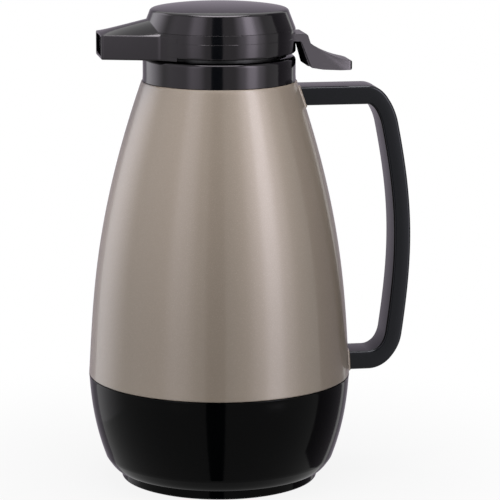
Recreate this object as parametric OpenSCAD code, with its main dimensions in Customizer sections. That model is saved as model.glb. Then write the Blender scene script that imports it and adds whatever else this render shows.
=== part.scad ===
// Thermal carafe with a screw-in pouring lid, a spout and a thumb lever.
// The origin is on the body's axis, on the surface that the carafe stands on.
// +Z is up, the handle points towards +X and the spout towards -X.

/* [Body] */
// Widest radius of the body, at the seam between base cup and shell
body_r = 68; // [65:0.5:74]
// Height of that seam above the table
seam_z = 55.6; // [50:0.2:62]
// Radius of the shell's top edge, under the collar
shoulder_r = 39.9; // [39.2:0.1:42]
// Height of the shell's top edge
shoulder_z = 208.9; // [204:0.1:220]
// Wall of the painted shell
shell_wall = 2.2; // [1.6:0.1:2.8]
// Wall of the base cup
cup_wall = 2.4; // [1.8:0.1:3]
// Depth of the spigot that the shell pushes into the base cup
spigot_h = 9; // [5:0.5:12]
// Radius of the foot that the carafe stands on
foot_r = 51.2; // [46:0.2:54]
// Height of the foot, up to the ledge
foot_h = 5.3; // [4:0.1:7]
// Width of the rubber ring in the foot
pad_ring_w = 4; // [2:0.1:4.5]

/* [Flask] */
// Air between the flask and the widest part of the shell
flask_air = 6.3; // [5.5:0.1:9]
// Wall of each of the flask's two bottles
glass_t = 1.4; // [1.2:0.1:2.4]
// Vacuum gap between the two bottles
vacuum_gap = 4; // [3:0.1:5]
// Outer radius of the flask's neck
neck_r = 31.5; // [31:0.1:33]
// Thickness of the fused rim that joins the two bottles
rim_t = 2; // [1.5:0.1:3]
// Thickness of the silicone ring on the rim
neck_seal_t = 1.7; // [1:0.1:2.5]
// Height of the flask's underside above the table
flask_z = 13; // [11:0.5:16]
// Radius of the cushion under the flask
cushion_r = 27; // [22:0.5:32]
// Radius of the hole in that cushion
cushion_hole_r = 12; // [8:0.5:16]
// Radius of the felt discs between the two bottles
spacer_r = 3.5; // [2.5:0.1:4.5]

/* [Collar] */
// Outer radius of the collar and of the lid's ring
collar_r = 39.2; // [38.4:0.1:39.4]
// Height of the collar above the shell
collar_h = 12.9; // [10:0.1:16]
// Round on the collar's top edge
collar_round = 2.2; // [1:0.1:3]
// Radius of the collar's threaded bore
bore_r = 34; // [33.8:0.1:34.6]
// Thickness of the lip that holds the flask down
lip_t = 2.4; // [1.8:0.1:3]

/* [Handle] */
// Width of the handle's strap
handle_w = 20.5; // [16:0.5:24]
// Thickness of the strap's grip
strap_t = 8.8; // [7:0.1:10]
// Thickness of its two arms, where they meet the shell
arm_t = 9.6; // [8:0.1:11]
// Round on the strap's edges
strap_round = 1.4; // [1:0.1:3]
// Reach of the strap's centre line from the axis
handle_reach = 95.1; // [90:0.1:104]
// Drop of the upper arm's centre line below the shell's top edge
arm_drop = 8; // [7.5:0.1:14]
// Rise of the lower arm's centre line above the seam
arm_rise = 5.3; // [5:0.1:14]
// How far the shell's pads stand proud
pad_h = 1; // [0.6:0.1:1.5]
// Margin of a pad around the strap
pad_margin = 1; // [0.8:0.1:2.5]
// Radius of the handle screws
screw_r = 1.6; // [1.3:0.1:2]

/* [Lid] */
// Gap between the collar and the lid's ring
lid_gap = 1.8; // [1.2:0.1:2.5]
// Height of the lid's ring, up to the cap
ring_h = 12.4; // [12:0.1:15]
// Wall of the ring
ring_wall = 2.2; // [1.8:0.1:2.6]
// Height of the cap above the ring, at its centre
cap_h = 12.4; // [11:0.1:16]
// Height of the cap's rounded rim above the ring
rim_h = 10; // [9:0.1:10.5]
// Radius of the cap's flat top
cap_top_r = 35; // [34:0.1:36.5]
// Wall of the cap
cap_wall = 2; // [1.5:0.1:2.4]
// Outer radius of the stopper's tube, in the flask's neck
plug_r = 22.6; // [21.6:0.1:23]
// Wall of the stopper's tube
plug_wall = 2; // [1.5:0.1:2.4]
// Depth of the stopper below the lid's ring
plug_depth = 26.6; // [22:0.1:30]
// Radius of the pouring port
port_r = 9; // [7:0.5:10]

/* [Spout] */
// Reach of the spout's tip from the axis
spout_reach = 62.1; // [56:0.1:70]
// Half the spout's width at its tip
spout_tip_hw = 11.8; // [10:0.1:14]
// Half the spout's width where it leaves the lid
spout_root_hw = 23.6; // [20:0.1:25]
// Height of the spout's side walls
spout_h = 12.1; // [11.4:0.1:14]
// Rise of the spout's hood at the lid
hood_rise = 7.2; // [5:0.1:8]
// Wall of the spout
spout_wall = 2; // [1.5:0.1:2.4]

/* [Lever] */
// Width of the thumb lever
lever_w = 19; // [16:0.5:22]
// Reach of the lever's tip from the axis
lever_reach = 67.9; // [64:0.1:74]
// Distance of the lever's pin from the axis
pivot_x = 30; // [29.5:0.1:30.5]
// Radius of the pin
pin_r = 1.5; // [1.2:0.1:1.8]
// Running clearance around the pin and the stem
run_gap = 0.06; // [0.03:0.01:0.1]
// Radius of the valve's stem
stem_r = 3; // [2.5:0.1:3.4]
// Radius of the return spring's wire
wire_r = 0.6; // [0.4:0.1:0.8]
// Turns of the return spring
spring_turns = 7; // [4:1:10]

/* [Hidden] */
$fn = 120;

black = [0.12, 0.12, 0.14];
taupe = [0.66, 0.61, 0.56];
fit = 0.2;
clear = 0.3;
sliver = 0.05;

// Heights that follow from the driving sizes
arm_top_z = shoulder_z - arm_drop;
arm_low_z = seam_z + arm_rise;
collar_top = shoulder_z + collar_h;
lid_z = collar_top + lid_gap;
ring_top = lid_z + ring_h;
lip_top = shoulder_z - clear;
lip_z = lip_top - lip_t;
rim_z = lip_z - neck_seal_t;
floor_t = 1.5;
floor_z = lid_z + floor_t;
deck_z = floor_z + 4.6;
deck_t = 1.6;
deck_top = deck_z + deck_t;
web_z = lip_top + 1;
web_t = 2;
plug_z = lid_z - plug_depth;
plug_floor = plug_z + 2.4;
seat_h = 1;
seal_z = plug_floor + seat_h + 0.1;
seal_t = 1.8;
disc_t = 2.7;
disc_top = seal_z + seal_t + disc_t;

// Spout, seen from the lid
spout_z = collar_top + 0.4;
spout_root_x = 30;
spout_dip = 0.3;
eave_z = spout_z + spout_h;

// Lever, seen from the lid
pin_z = deck_top + 2;
fork_t = 2.7;
fork_z = deck_top + 0.7;
fork_hw = 7;
arm_top = pin_z - 0.2;
clip_z = fork_z + fork_t + 0.4;
clip_t = 1.6;
clip_r = 6.5;
bush_r = stem_r + 2;
bush_flange_t = 1.2;
coil_r = bush_r + wire_r + clear;
screw_ring_r = 26;
screw_angles = [60, 130, 230, 300];
lid_screw_r = 1.4;
boss_r = 3;

// A cubic curve in n steps
function curve(a, b, c, d, n) = [
    for (i = [0 : n])
        let (t = i / n, s = 1 - t)
            s * s * s * a + 3 * s * s * t * b + 3 * s * t * t * c + t * t * t * d
];
function flip(p) = [for (i = [len(p) - 1 : -1 : 0]) p[i]];
function along(p, i) = p[min(i + 1, len(p) - 1)] - p[max(i - 1, 0)];
// The line that runs d inside an outline which is drawn outwards and upwards
function inset(p, d) = [
    for (i = [0 : len(p) - 1])
        let (t = along(p, i), q = p[i] + d * [-t[1], t[0]] / norm(t))
            [max(q[0], 0), q[1]]
];
// The points of a quarter round from one side of a corner to the other
function corner(c, r, from, to) = [
    for (i = [0 : 6])
        let (a = from + (to - from) * i / 6)
            c + r * [cos(a), sin(a)]
];

shell_line = curve(
    [body_r, seam_z],
    [body_r - 2.5, seam_z + 39],
    [shoulder_r + 25.1, shoulder_z - 72.5],
    [shoulder_r, shoulder_z],
    26
);
knuckle_r = foot_r + 8.2;
knuckle_z = foot_h + 6.7;
cup_line = concat(
    curve(
        [foot_r + 1.8, foot_h + 0.1],
        [foot_r + 4.1, foot_h + 0.5],
        [knuckle_r - 2.1, knuckle_z - 3.2],
        [knuckle_r, knuckle_z],
        6
    ),
    [
        for (i = [1 : 12])
            curve(
                [knuckle_r, knuckle_z],
                [knuckle_r + 7.9, knuckle_z + 20.9],
                [body_r - 0.6, seam_z - 4.8],
                [body_r, seam_z],
                12
            )[i]
    ]
);

flask_r = body_r - shell_wall - flask_air;
neck_base_z = rim_z - rim_t - 12.5;
neck_base_r = shoulder_r - 2.6;
flask_line = concat(
    curve(
        [0, flask_z],
        [0.64 * flask_r, flask_z],
        [flask_r - 1, flask_z + 6],
        [flask_r, seam_z],
        14
    ),
    [
        for (i = [1 : 14])
            curve(
                [flask_r, seam_z],
                [flask_r - 2, seam_z + 39],
                [shoulder_r + 17, shoulder_z - 72],
                [neck_base_r, neck_base_z],
                14
            )[i]
    ],
    [
        for (i = [1 : 6])
            curve(
                [neck_base_r, neck_base_z],
                [neck_base_r - 1.8, neck_base_z + 4.5],
                [neck_r, neck_base_z + 5],
                [neck_r, rim_z - rim_t],
                6
            )[i]
    ]
);
liner_t = glass_t + vacuum_gap;

// A closed turned shape between two lines
module turned(outer, inner) rotate_extrude() polygon(concat(outer, flip(inner)));

module base_cup() color(black) {
    ring_out = foot_r - 2.2;
    ring_in = ring_out - pad_ring_w;
    foot_in = ring_in - 1.6;
    inner = inset(cup_line, cup_wall);
    difference() {
        rotate_extrude() polygon(concat(
            [[0, 3], [foot_in, 3], [foot_in, 0.5]],
            corner([foot_r - 2, 2], 1.5, -90, 0),
            [[foot_r, foot_h], [foot_r + 1.2, foot_h]],
            cup_line,
            [[body_r - cup_wall, seam_z]],
            flip([for (p = inner) if (p[1] > foot_h + 0.6 && p[1] < seam_z - 0.5) p]),
            [[foot_r - 2, foot_h + 0.3], [0, foot_h + 0.3]]
        ));
        translate([0, 0, -1]) difference() {
            cylinder(r = ring_out + 0.1, h = 3.5);
            translate([0, 0, -1]) cylinder(r = ring_in - 0.1, h = 6);
        }
    }
}

module foot_ring() color([0.2, 0.2, 0.2]) difference() {
    cylinder(r = foot_r - 2.2, h = 2.4);
    translate([0, 0, -1]) cylinder(r = foot_r - 2.2 - pad_ring_w, h = 5);
}

// The pads where the handle's two arms meet the shell
module pad_block(z) {
    pad_z = arm_t + 2 * pad_margin;
    translate([0, -handle_w / 2 - pad_margin, z - pad_z / 2])
        cube([body_r + 20, handle_w + 2 * pad_margin, pad_z]);
}

handle_screw_spread = handle_w / 4;
// Flat inside the shell that a screw's head sits on, for the upper and the lower arm
function shell_r(z) = lookup(z, [for (p = shell_line) [p[1], p[0]]]);
seat_in = 2.4;
top_seat_x = shell_r(arm_top_z) - shell_wall - seat_in;
low_seat_x = shell_r(arm_low_z) - shell_wall - seat_in;

module outer_shell() color(taupe) {
    inner = inset(shell_line, shell_wall);
    spigot_r = body_r - cup_wall - 1.2;
    difference() {
        union() {
            rotate_extrude() polygon(concat(
                [[spigot_r - 2, seam_z - spigot_h], [spigot_r, seam_z - spigot_h], [spigot_r, seam_z]],
                shell_line,
                [[shoulder_r - shell_wall, shoulder_z]],
                flip([for (p = inner) if (p[1] > seam_z + 3 && p[1] < shoulder_z - 1) p]),
                [[spigot_r - 2, seam_z]]
            ));
            intersection() {
                turned(inset(shell_line, -pad_h), inset(shell_line, shell_wall / 2));
                union() {
                    pad_block(arm_top_z);
                    pad_block(arm_low_z);
                }
            }
            intersection() {
                rotate_extrude() polygon(concat(
                    [[0, seam_z]], inset(shell_line, shell_wall / 2), [[0, shoulder_z]]
                ));
                for (y = [-1, 1]) {
                    screw_boss(top_seat_x, arm_top_z, y);
                    screw_boss(low_seat_x, arm_low_z, y);
                }
            }
        }
        for (y = [-1, 1])
            for (z = [arm_top_z, arm_low_z])
                translate([0, y * handle_screw_spread, z]) rotate([0, 90, 0])
                    cylinder(r = screw_r + fit, h = body_r + 10, $fn = 32);
    }
}

module screw_boss(x, z, side) {
    translate([x, side * handle_screw_spread, z]) rotate([0, 90, 0])
        cylinder(r = screw_r + 1.9, h = 8, $fn = 40);
}

// Interrupted thread: three ridges that each take up part of the circle
module thread_lugs(from_r, to_r, z, count, span) {
    for (i = [0 : count - 1])
        rotate([0, 0, i * 360 / count]) translate([0, 0, z + i * 1.2])
            rotate_extrude(angle = span) polygon([
                [from_r, -1.6], [to_r, -0.6], [to_r, 0.6], [from_r, 1.6],
            ]);
}

module neck_collar() color(black) {
    spigot = shoulder_r - shell_wall - fit;
    union() {
        rotate_extrude() polygon(concat(
            [[collar_r + 0.2, shoulder_z + sliver], [collar_r, shoulder_z + 3]],
            corner([collar_r - collar_round, collar_top - collar_round], collar_round, 0, 90),
            [[bore_r + 0.8, collar_top], [bore_r, collar_top - 0.8], [bore_r, lip_top]],
            [[neck_r - glass_t - vacuum_gap - 1, lip_top], [neck_r - glass_t - vacuum_gap - 1, lip_z]],
            [[spigot, lip_z], [spigot, shoulder_z + sliver]]
        ));
        thread_lugs(bore_r + 0.3, bore_r - 1, lip_top + 6.5, 3, 85);
    }
}

// The handle's centre line: two arms, two corners and a shallow bow
bow_x = handle_reach;
arm_start = 34;
arm_end_x = handle_reach - 19;
low_arm_end_x = handle_reach - 10;
handle_line = concat(
    [[arm_start, arm_top_z], [arm_end_x - 8, arm_top_z]],
    curve(
        [arm_end_x, arm_top_z],
        [arm_end_x + 5.9, arm_top_z],
        [bow_x - 8.6, arm_top_z - 8.6],
        [bow_x - 7.15, arm_top_z - 16],
        10
    ),
    [
        for (i = [1 : 16])
            curve(
                [bow_x - 7.15, arm_top_z - 16],
                [bow_x + 1.4, arm_top_z - 58],
                [bow_x + 2, arm_low_z + 58],
                [bow_x - 4.1, arm_low_z + 14],
                16
            )[i]
    ],
    [
        for (i = [1 : 8])
            curve(
                [bow_x - 4.1, arm_low_z + 14],
                [bow_x - 5.1, arm_low_z + 6.9],
                [low_arm_end_x - 0.2, arm_low_z],
                [low_arm_end_x - 7.5, arm_low_z],
                8
            )[i]
    ],
    [[body_r - 12, arm_low_z]]
);

// The strap's section: a rectangle with round corners, w wide and t thick
function strap_section(w, t, r) = [
    for (q = [0 : 3], i = [0 : 3])
        let (
            sx = (q == 0 || q == 3) ? 1 : -1,
            sy = (q < 2) ? 1 : -1,
            a = q * 90 + i * 30
        )
            [sx * (w / 2 - r) + r * cos(a), sy * (t / 2 - r) + r * sin(a)]
];

// How much thicker the strap is at a point of its line: full on the arms, none on the grip
function swell(p) =
    let (u = min(1, abs(arm_top_z - p[1]) / 14, abs(p[1] - arm_low_z) / 14))
        1 + (arm_t / strap_t - 1) * (1 - u);

// Sweep a section along a line in the XZ plane; the section's first axis is Y
module sweep_xz(line, section) {
    n = len(section);
    m = len(line);
    points = [
        for (i = [0 : m - 1])
            let (t = along(line, i) / norm(along(line, i)), side = swell(line[i]) * [-t[1], t[0]])
                for (s = section)
                    [line[i][0] + s[1] * side[0], s[0], line[i][1] + s[1] * side[1]]
    ];
    faces = concat(
        [[for (k = [0 : n - 1]) k]],
        [[for (k = [n - 1 : -1 : 0]) (m - 1) * n + k]],
        [
            for (i = [0 : m - 2], k = [0 : n - 1])
                let (a = i * n + k, b = i * n + (k + 1) % n)
                    each [[a, a + n, b + n], [a, b + n, b]]
        ]
    );
    polyhedron(points, faces, convexity = 6);
}

module handle() color(black) difference() {
    sweep_xz(handle_line, strap_section(handle_w, strap_t, strap_round));
    rotate_extrude() polygon(concat(
        [[0, seam_z - 5], [body_r + pad_h + sliver, seam_z - 5]],
        inset(shell_line, -pad_h - sliver),
        [[0, shoulder_z]]
    ));
    for (y = [-1, 1])
        for (z = [arm_top_z, arm_low_z])
            translate([0, y * handle_screw_spread, z]) rotate([0, 90, 0])
                cylinder(r = screw_r + 0.02, h = (z == arm_top_z ? shoulder_r : body_r) + 17, $fn = 32);
}

module handle_screws() color("silver") {
    for (y = [-1, 1]) {
        handle_screw(top_seat_x, arm_top_z, y);
        handle_screw(low_seat_x, arm_low_z, y);
    }
}

module handle_screw(x, z, side) {
    translate([x, side * handle_screw_spread, z]) rotate([0, 90, 0]) {
        cylinder(r = screw_r, h = 16, $fn = 32);
        translate([0, 0, -1.8]) difference() {
            cylinder(r = 2 * screw_r, h = 1.8, $fn = 48);
            for (a = [0, 90])
                rotate([0, 0, a]) translate([-screw_r, -0.35, -1]) cube([2 * screw_r, 0.7, 2]);
        }
    }
}

module flask_jacket() color("gainsboro") union() {
    turned(flask_line, inset(flask_line, glass_t));
    translate([0, 0, flask_z - 4]) cylinder(r1 = 2, r2 = 4, h = 4.2, $fn = 48);
}

module flask_liner() color("gainsboro") rotate_extrude() polygon(concat(
    inset(flask_line, liner_t),
    [[neck_r, rim_z - rim_t], [neck_r, rim_z], [neck_r - liner_t - glass_t, rim_z]],
    flip(inset(flask_line, liner_t + glass_t))
));

module flask_spacers() color("tan") {
    for (a = [30, 150, 270])
        rotate([0, 0, a]) translate([flask_r - liner_t + 0.2, 0, seam_z]) rotate([0, 90, 0])
            cylinder(r = spacer_r, h = vacuum_gap - 0.5, $fn = 48);
}

module flask_cushion() color([0.25, 0.25, 0.25]) difference() {
    cylinder(r = cushion_r, h = flask_z - sliver);
    translate([0, 0, -1]) cylinder(r = cushion_r + 0.1, h = foot_h + 1.3 + sliver);
    translate([0, 0, -1]) cylinder(r = cushion_hole_r, h = flask_z + 2);
}

module neck_seal() color("white") translate([0, 0, rim_z]) difference() {
    cylinder(r = neck_r - 0.5, h = neck_seal_t);
    translate([0, 0, -1]) cylinder(r = neck_r - liner_t - 0.8, h = neck_seal_t + 2);
}

// The cap's outside, from the seam up and in to the axis
cap_line = concat(
    [[collar_r - 0.2, ring_top], [cap_top_r + 0.9, ring_top + rim_h - 2]],
    curve(
        [cap_top_r + 0.7, ring_top + rim_h - 1.5],
        [cap_top_r + 0.4, ring_top + rim_h - 0.4],
        [cap_top_r - 0.4, ring_top + rim_h],
        [cap_top_r - 2, ring_top + rim_h + 0.3],
        6
    ),
    [
        for (i = [1 : 10])
            curve(
                [cap_top_r - 2, ring_top + rim_h + 0.3],
                [cap_top_r * 0.7, ring_top + cap_h - 0.5],
                [cap_top_r * 0.35, ring_top + cap_h],
                [0, ring_top + cap_h],
                10
            )[i]
    ]
);

module lid_cap() color(black) {
    spigot = collar_r - ring_wall - fit;
    inner = inset(cap_line, cap_wall);
    difference() {
        union() {
            rotate_extrude() polygon(concat([[0, ring_top]], cap_line));
            translate([0, 0, ring_top - 2]) cylinder(r = spigot, h = 2.5);
        }
        rotate_extrude() polygon(concat(
            [[0, ring_top - 3], [spigot - 1.8, ring_top - 3], [spigot - 1.8, ring_top + 0.5]],
            [for (p = inner) if (p[1] > ring_top + 1) [max(p[0], 0), p[1]]]
        ));
    }
}

// The spout's cross-section: upright sides below an arched hood
module spout_section(x, hw, low, eave, rise) {
    arch = [for (i = [0 : 12]) let (s = 1 - i / 6) [s * hw, eave + rise * (1 - s * s)]];
    translate([-x, 0, 0]) rotate([90, 0, 90]) linear_extrude(sliver)
        polygon(concat([[-hw, low], [hw, low]], arch));
}

module spout_form() {
    hull() {
        spout_section(spout_reach, spout_tip_hw, spout_z - spout_dip, eave_z, 0.7);
        spout_section(spout_root_x, spout_root_hw, spout_z, eave_z, hood_rise + 1.2);
    }
}

module spout_hollow() {
    hull() {
        spout_section(spout_reach + 1, spout_tip_hw - spout_wall, spout_z + spout_wall,
            eave_z - spout_wall + 0.5, 0.3);
        spout_section(collar_r + 2.4, spout_tip_hw + 5 - spout_wall, spout_z + spout_wall,
            eave_z - spout_wall + 0.5, hood_rise - 2);
    }
    translate([-collar_r - 5, -10, floor_z]) cube([25, 20, deck_z - floor_z]);
}

ear_hw = fork_hw + clear + 0.1;
ear_t = 3;
ear_r = 3.4;

module lid_housing() color(black) difference() {
    union() {
        difference() {
            union() {
                rotate_extrude() polygon([
                    [0, lid_z], [collar_r - 1.3, lid_z], [collar_r - 0.4, lid_z + 0.4],
                    [collar_r, lid_z + 1.3], [collar_r, lid_z + 7.8], [collar_r - 0.15, lid_z + 8],
                    [collar_r - 0.15, ring_top], [0, ring_top],
                ]);
                difference() {
                    spout_form();
                    translate([0, 0, lid_z - 5]) cylinder(r = collar_r - ring_wall, h = 40);
                    rotate_extrude() polygon(concat(
                        [[0, ring_top], [cap_line[0][0] + 0.15, ring_top]], inset(cap_line, -0.15)
                    ));
                }
            }
            translate([0, 0, floor_z]) cylinder(r = collar_r - ring_wall, h = 30);
        }
        for (s = [-1, 1]) lever_ear(s);
    }
    spout_hollow();
    translate([0, 0, lid_z - 1]) cylinder(r = plug_r + fit, h = floor_t + 2);
    for (a = screw_angles)
        rotate([0, 0, a]) translate([screw_ring_r, 0, lid_z - 1])
            cylinder(r = lid_screw_r + clear, h = floor_t + 2, $fn = 32);
    // Slot that the lever comes out of
    translate([collar_r - 6, -lever_w / 2 - 0.4, lid_z + 2.8])
        cube([10, lever_w + 0.8, arm_top + 0.6 - lid_z - 2.8]);
    translate([pivot_x, 0, pin_z]) rotate([90, 0, 0])
        cylinder(r = pin_r + 0.02, h = 40, center = true, $fn = 48);
}

module lever_ear(side) {
    inner = side > 0 ? ear_hw : -ear_hw - ear_t;
    translate([pivot_x - ear_r, inner, floor_z - sliver])
        cube([2 * ear_r, ear_t, pin_z - floor_z + sliver]);
    translate([pivot_x, inner, pin_z]) rotate([-90, 0, 0]) cylinder(r = ear_r, h = ear_t, $fn = 48);
}

// Block between the stopper and the spout, with its end cut round to fit inside the ring
channel_hw = 12;
channel_len = 18;
module channel_block(h) {
    end_r = collar_r - ring_wall - clear;
    intersection() {
        translate([-end_r, -channel_hw, 0]) cube([channel_len, 2 * channel_hw, h]);
        translate([0, 0, -1]) cylinder(r = end_r, h = h + 2);
    }
}

// The wall on the lid's floor that carries the deck and leads the drink to the spout
module pour_channel() color([0.16, 0.16, 0.17]) translate([0, 0, floor_z]) difference() {
    union() {
        cylinder(r = screw_ring_r - lid_screw_r - clear - 0.1, h = deck_z - floor_z);
        channel_block(deck_z - floor_z);
        for (a = screw_angles)
            rotate([0, 0, a]) translate([screw_ring_r, 0, 0])
                cylinder(r = boss_r, h = deck_z - floor_z, $fn = 48);
    }
    translate([0, 0, -1]) cylinder(r = plug_r - plug_wall, h = deck_z - floor_z + 2);
    for (a = screw_angles)
        rotate([0, 0, a]) translate([screw_ring_r, 0, -1])
            cylinder(r = lid_screw_r + clear, h = deck_z - floor_z + 2, $fn = 32);
    translate([-collar_r - 5, -10, -1]) cube([30, 20, deck_z - floor_z + 2]);
}

module stopper() color([0.16, 0.16, 0.17]) {
    skirt_r = bore_r - 2.8;
    difference() {
        union() {
            rotate_extrude() polygon([
                [port_r, plug_z], [plug_r - 1, plug_z], [plug_r, plug_z + 1], [plug_r, web_z],
                [skirt_r, web_z], [skirt_r, lid_z - 0.1], [skirt_r - 1.8, lid_z - 0.1],
                [skirt_r - 1.8, web_z + web_t], [plug_r, web_z + web_t], [plug_r, floor_z],
                [plug_r - plug_wall, floor_z], [plug_r - plug_wall, plug_floor],
                [port_r + 2, plug_floor], [port_r + 1.4, plug_floor + seat_h],
                [port_r, plug_floor + seat_h],
            ]);
            thread_lugs(skirt_r - 0.3, skirt_r + 1.5, lip_top + 6.5, 3, 85);
            for (a = screw_angles)
                rotate([0, 0, a]) translate([screw_ring_r, 0, web_z + 0.5])
                    cylinder(r = boss_r, h = lid_z - 0.1 - web_z - 0.5, $fn = 48);
        }
        for (a = screw_angles)
            rotate([0, 0, a]) translate([screw_ring_r, 0, web_z + web_t])
                cylinder(r = lid_screw_r + 0.02, h = 30, $fn = 32);
    }
}

module stopper_seal() color("white") translate([0, 0, lip_top + 0.15]) difference() {
    cylinder(r = bore_r - 3.6, h = web_z - lip_top - 0.3);
    translate([0, 0, -1]) cylinder(r = neck_r - liner_t - 0.6, h = 4);
}

module valve_deck() color([0.16, 0.16, 0.17]) translate([0, 0, deck_z]) difference() {
    union() {
        cylinder(r = plug_r + 2.2, h = deck_t);
        channel_block(deck_t);
        for (a = screw_angles)
            rotate([0, 0, a]) translate([screw_ring_r, 0, 0]) cylinder(r = boss_r + 0.2, h = deck_t, $fn = 48);
    }
    translate([0, 0, -1]) cylinder(r = bush_r + 0.05, h = 5);
    for (a = screw_angles)
        rotate([0, 0, a]) translate([screw_ring_r, 0, -1])
            cylinder(r = lid_screw_r + clear, h = 5, $fn = 32);
}

module lid_screws() color("silver") {
    shank = deck_top - web_z - web_t - 1;
    for (a = screw_angles)
        rotate([0, 0, a]) translate([screw_ring_r, 0, deck_top]) {
            translate([0, 0, -shank]) cylinder(r = lid_screw_r, h = shank + 0.5, $fn = 32);
            difference() {
                cylinder(r = 2.6, h = 1.5, $fn = 48);
                for (b = [0, 90])
                    rotate([0, 0, b]) translate([-1.4, -0.3, 0.6]) cube([2.8, 0.6, 2]);
            }
        }
}

module stem_bush() color("white") translate([0, 0, deck_z]) difference() {
    union() {
        translate([0, 0, -2]) cylinder(r = bush_r, h = deck_t + 2.1, $fn = 64);
        translate([0, 0, -bush_flange_t]) cylinder(r = coil_r + wire_r + 0.6, h = bush_flange_t, $fn = 64);
    }
    translate([0, 0, -5]) cylinder(r = stem_r + run_gap, h = 12, $fn = 64);
}

module lever_pin() color("silver") translate([pivot_x, 0, pin_z]) rotate([90, 0, 0])
    cylinder(r = pin_r, h = 2 * (ear_hw + ear_t), center = true, $fn = 48);

// The lever's side view, from the fork at the stem to the thumb pad
tip_z = lid_z - 9.7;
tip_t = 4.7;
thumb_drop = 12.8;
elbow_out = 15;
knee_out = 4.6;
root_in = 4;
root_t = 3.4;
heel_in = 11;
heel_out = 16.6;
toe_out = 22.6;
toe_in = 6;
module lever_profile() {
    thumb = curve(
        [pivot_x + elbow_out + 0.7, pin_z - 0.36 * thumb_drop],
        [pivot_x + 1.37 * elbow_out, pin_z - 0.66 * thumb_drop],
        [lever_reach - 0.7 * elbow_out, pin_z - thumb_drop],
        [lever_reach - 1, tip_z + tip_t + 0.4],
        10
    );
    polygon(concat(
        [[-0.5, fork_z], [pivot_x - root_in, fork_z], [pivot_x + 1, arm_top - root_t]],
        [[pivot_x + heel_in, arm_top - root_t - 0.6], [pivot_x + heel_out - 1, tip_z + 3.6]],
        [[pivot_x + heel_out, tip_z + 1.5], [pivot_x + toe_out, tip_z + 0.5]],
        [[lever_reach - toe_in, tip_z], [lever_reach - 1.6, tip_z]],
        [[lever_reach, tip_z + 0.4], [lever_reach, tip_z + tip_t]],
        flip(thumb),
        [[pivot_x + elbow_out, arm_top - 0.5], [pivot_x + elbow_out - 0.8, arm_top + 0.15]],
        [[pivot_x + heel_in, arm_top + 0.1], [pivot_x + knee_out, arm_top]],
        [[pivot_x + 3, fork_z + fork_t], [-0.5, fork_z + fork_t]]
    ));
}

module thumb_lever() color(black) difference() {
    union() {
        intersection() {
            rotate([90, 0, 0]) linear_extrude(lever_w, center = true) lever_profile();
            union() {
                translate([pivot_x + ear_r + 0.8, -lever_w / 2, tip_z - 1])
                    cube([lever_reach, lever_w, 2 * cap_top_r]);
                translate([-bush_r, -fork_hw, tip_z - 1])
                    cube([lever_reach, 2 * fork_hw, 2 * cap_top_r]);
            }
        }
        translate([pivot_x, 0, pin_z]) rotate([90, 0, 0])
            cylinder(r = 2.8, h = 2 * fork_hw, center = true, $fn = 48);
    }
    translate([-5, -stem_r - 0.6, fork_z - 5]) cube([13, 2 * stem_r + 1.2, 20]);
    translate([pivot_x, 0, pin_z]) rotate([90, 0, 0])
        cylinder(r = pin_r + run_gap, h = 30, center = true, $fn = 48);
}

groove_r = stem_r - 0.8;
module valve_stem() color("silver") rotate_extrude($fn = 64) polygon([
    [0, seal_z + 0.4], [stem_r, seal_z + 0.4], [stem_r, clip_z], [groove_r, clip_z],
    [groove_r, clip_z + clip_t], [stem_r, clip_z + clip_t], [stem_r, clip_z + 3],
    [stem_r - 0.6, clip_z + 3.6], [0, clip_z + 3.6],
]);

module valve_disc() color([0.16, 0.16, 0.17]) rotate_extrude() polygon([
    [stem_r, seal_z + seal_t], [port_r + 3, seal_z + seal_t], [port_r + 3, disc_top - 0.8],
    [port_r + 2.2, disc_top], [coil_r + wire_r + 0.8, disc_top], [coil_r - wire_r - 0.3, disc_top],
    [coil_r - wire_r - 0.3, disc_top + 1.4], [stem_r, disc_top + 1.4],
]);

module valve_seal() color("white") translate([0, 0, seal_z]) difference() {
    cylinder(r = port_r + 3.4, h = seal_t);
    translate([0, 0, -1]) cylinder(r = stem_r, h = 5, $fn = 64);
}

module stem_clip() color("silver") translate([0, 0, clip_z + 0.02]) difference() {
    cylinder(r = clip_r, h = clip_t - 0.04, $fn = 64);
    translate([0, 0, -1]) cylinder(r = groove_r + 0.03, h = 5, $fn = 64);
    translate([0, -1.9, -1]) cube([10, 3.8, 5]);
}

// The return spring: a round wire on a helix, between the valve disc and the bush
module return_spring() color("silver") {
    start = disc_top + wire_r + 0.1;
    length = deck_z - bush_flange_t - wire_r - 0.1 - start;
    sides = 6;
    steps = spring_turns * 16;
    points = [
        for (i = [0 : steps])
            let (a = 360 * spring_turns * i / steps, z = start + length * i / steps)
                for (k = [0 : sides - 1])
                    let (b = 360 * k / sides, r = coil_r + wire_r * cos(b))
                        [r * cos(a), r * sin(a), z + wire_r * sin(b)]
    ];
    faces = concat(
        [[for (k = [0 : sides - 1]) k]],
        [[for (k = [sides - 1 : -1 : 0]) steps * sides + k]],
        [
            for (i = [0 : steps - 1], k = [0 : sides - 1])
                let (a = i * sides + k, b = i * sides + (k + 1) % sides)
                    each [[a, a + sides, b + sides], [a, b + sides, b]]
        ]
    );
    polyhedron(points, faces, convexity = 10);
}

base_cup();
foot_ring();
outer_shell();
neck_collar();
handle();
handle_screws();
flask_liner();
flask_jacket();
flask_spacers();
flask_cushion();
neck_seal();
lid_housing();
pour_channel();
lid_cap();
stopper();
stopper_seal();
valve_deck();
lid_screws();
stem_bush();
lever_pin();
thumb_lever();
valve_stem();
valve_disc();
valve_seal();
stem_clip();
return_spring();
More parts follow.
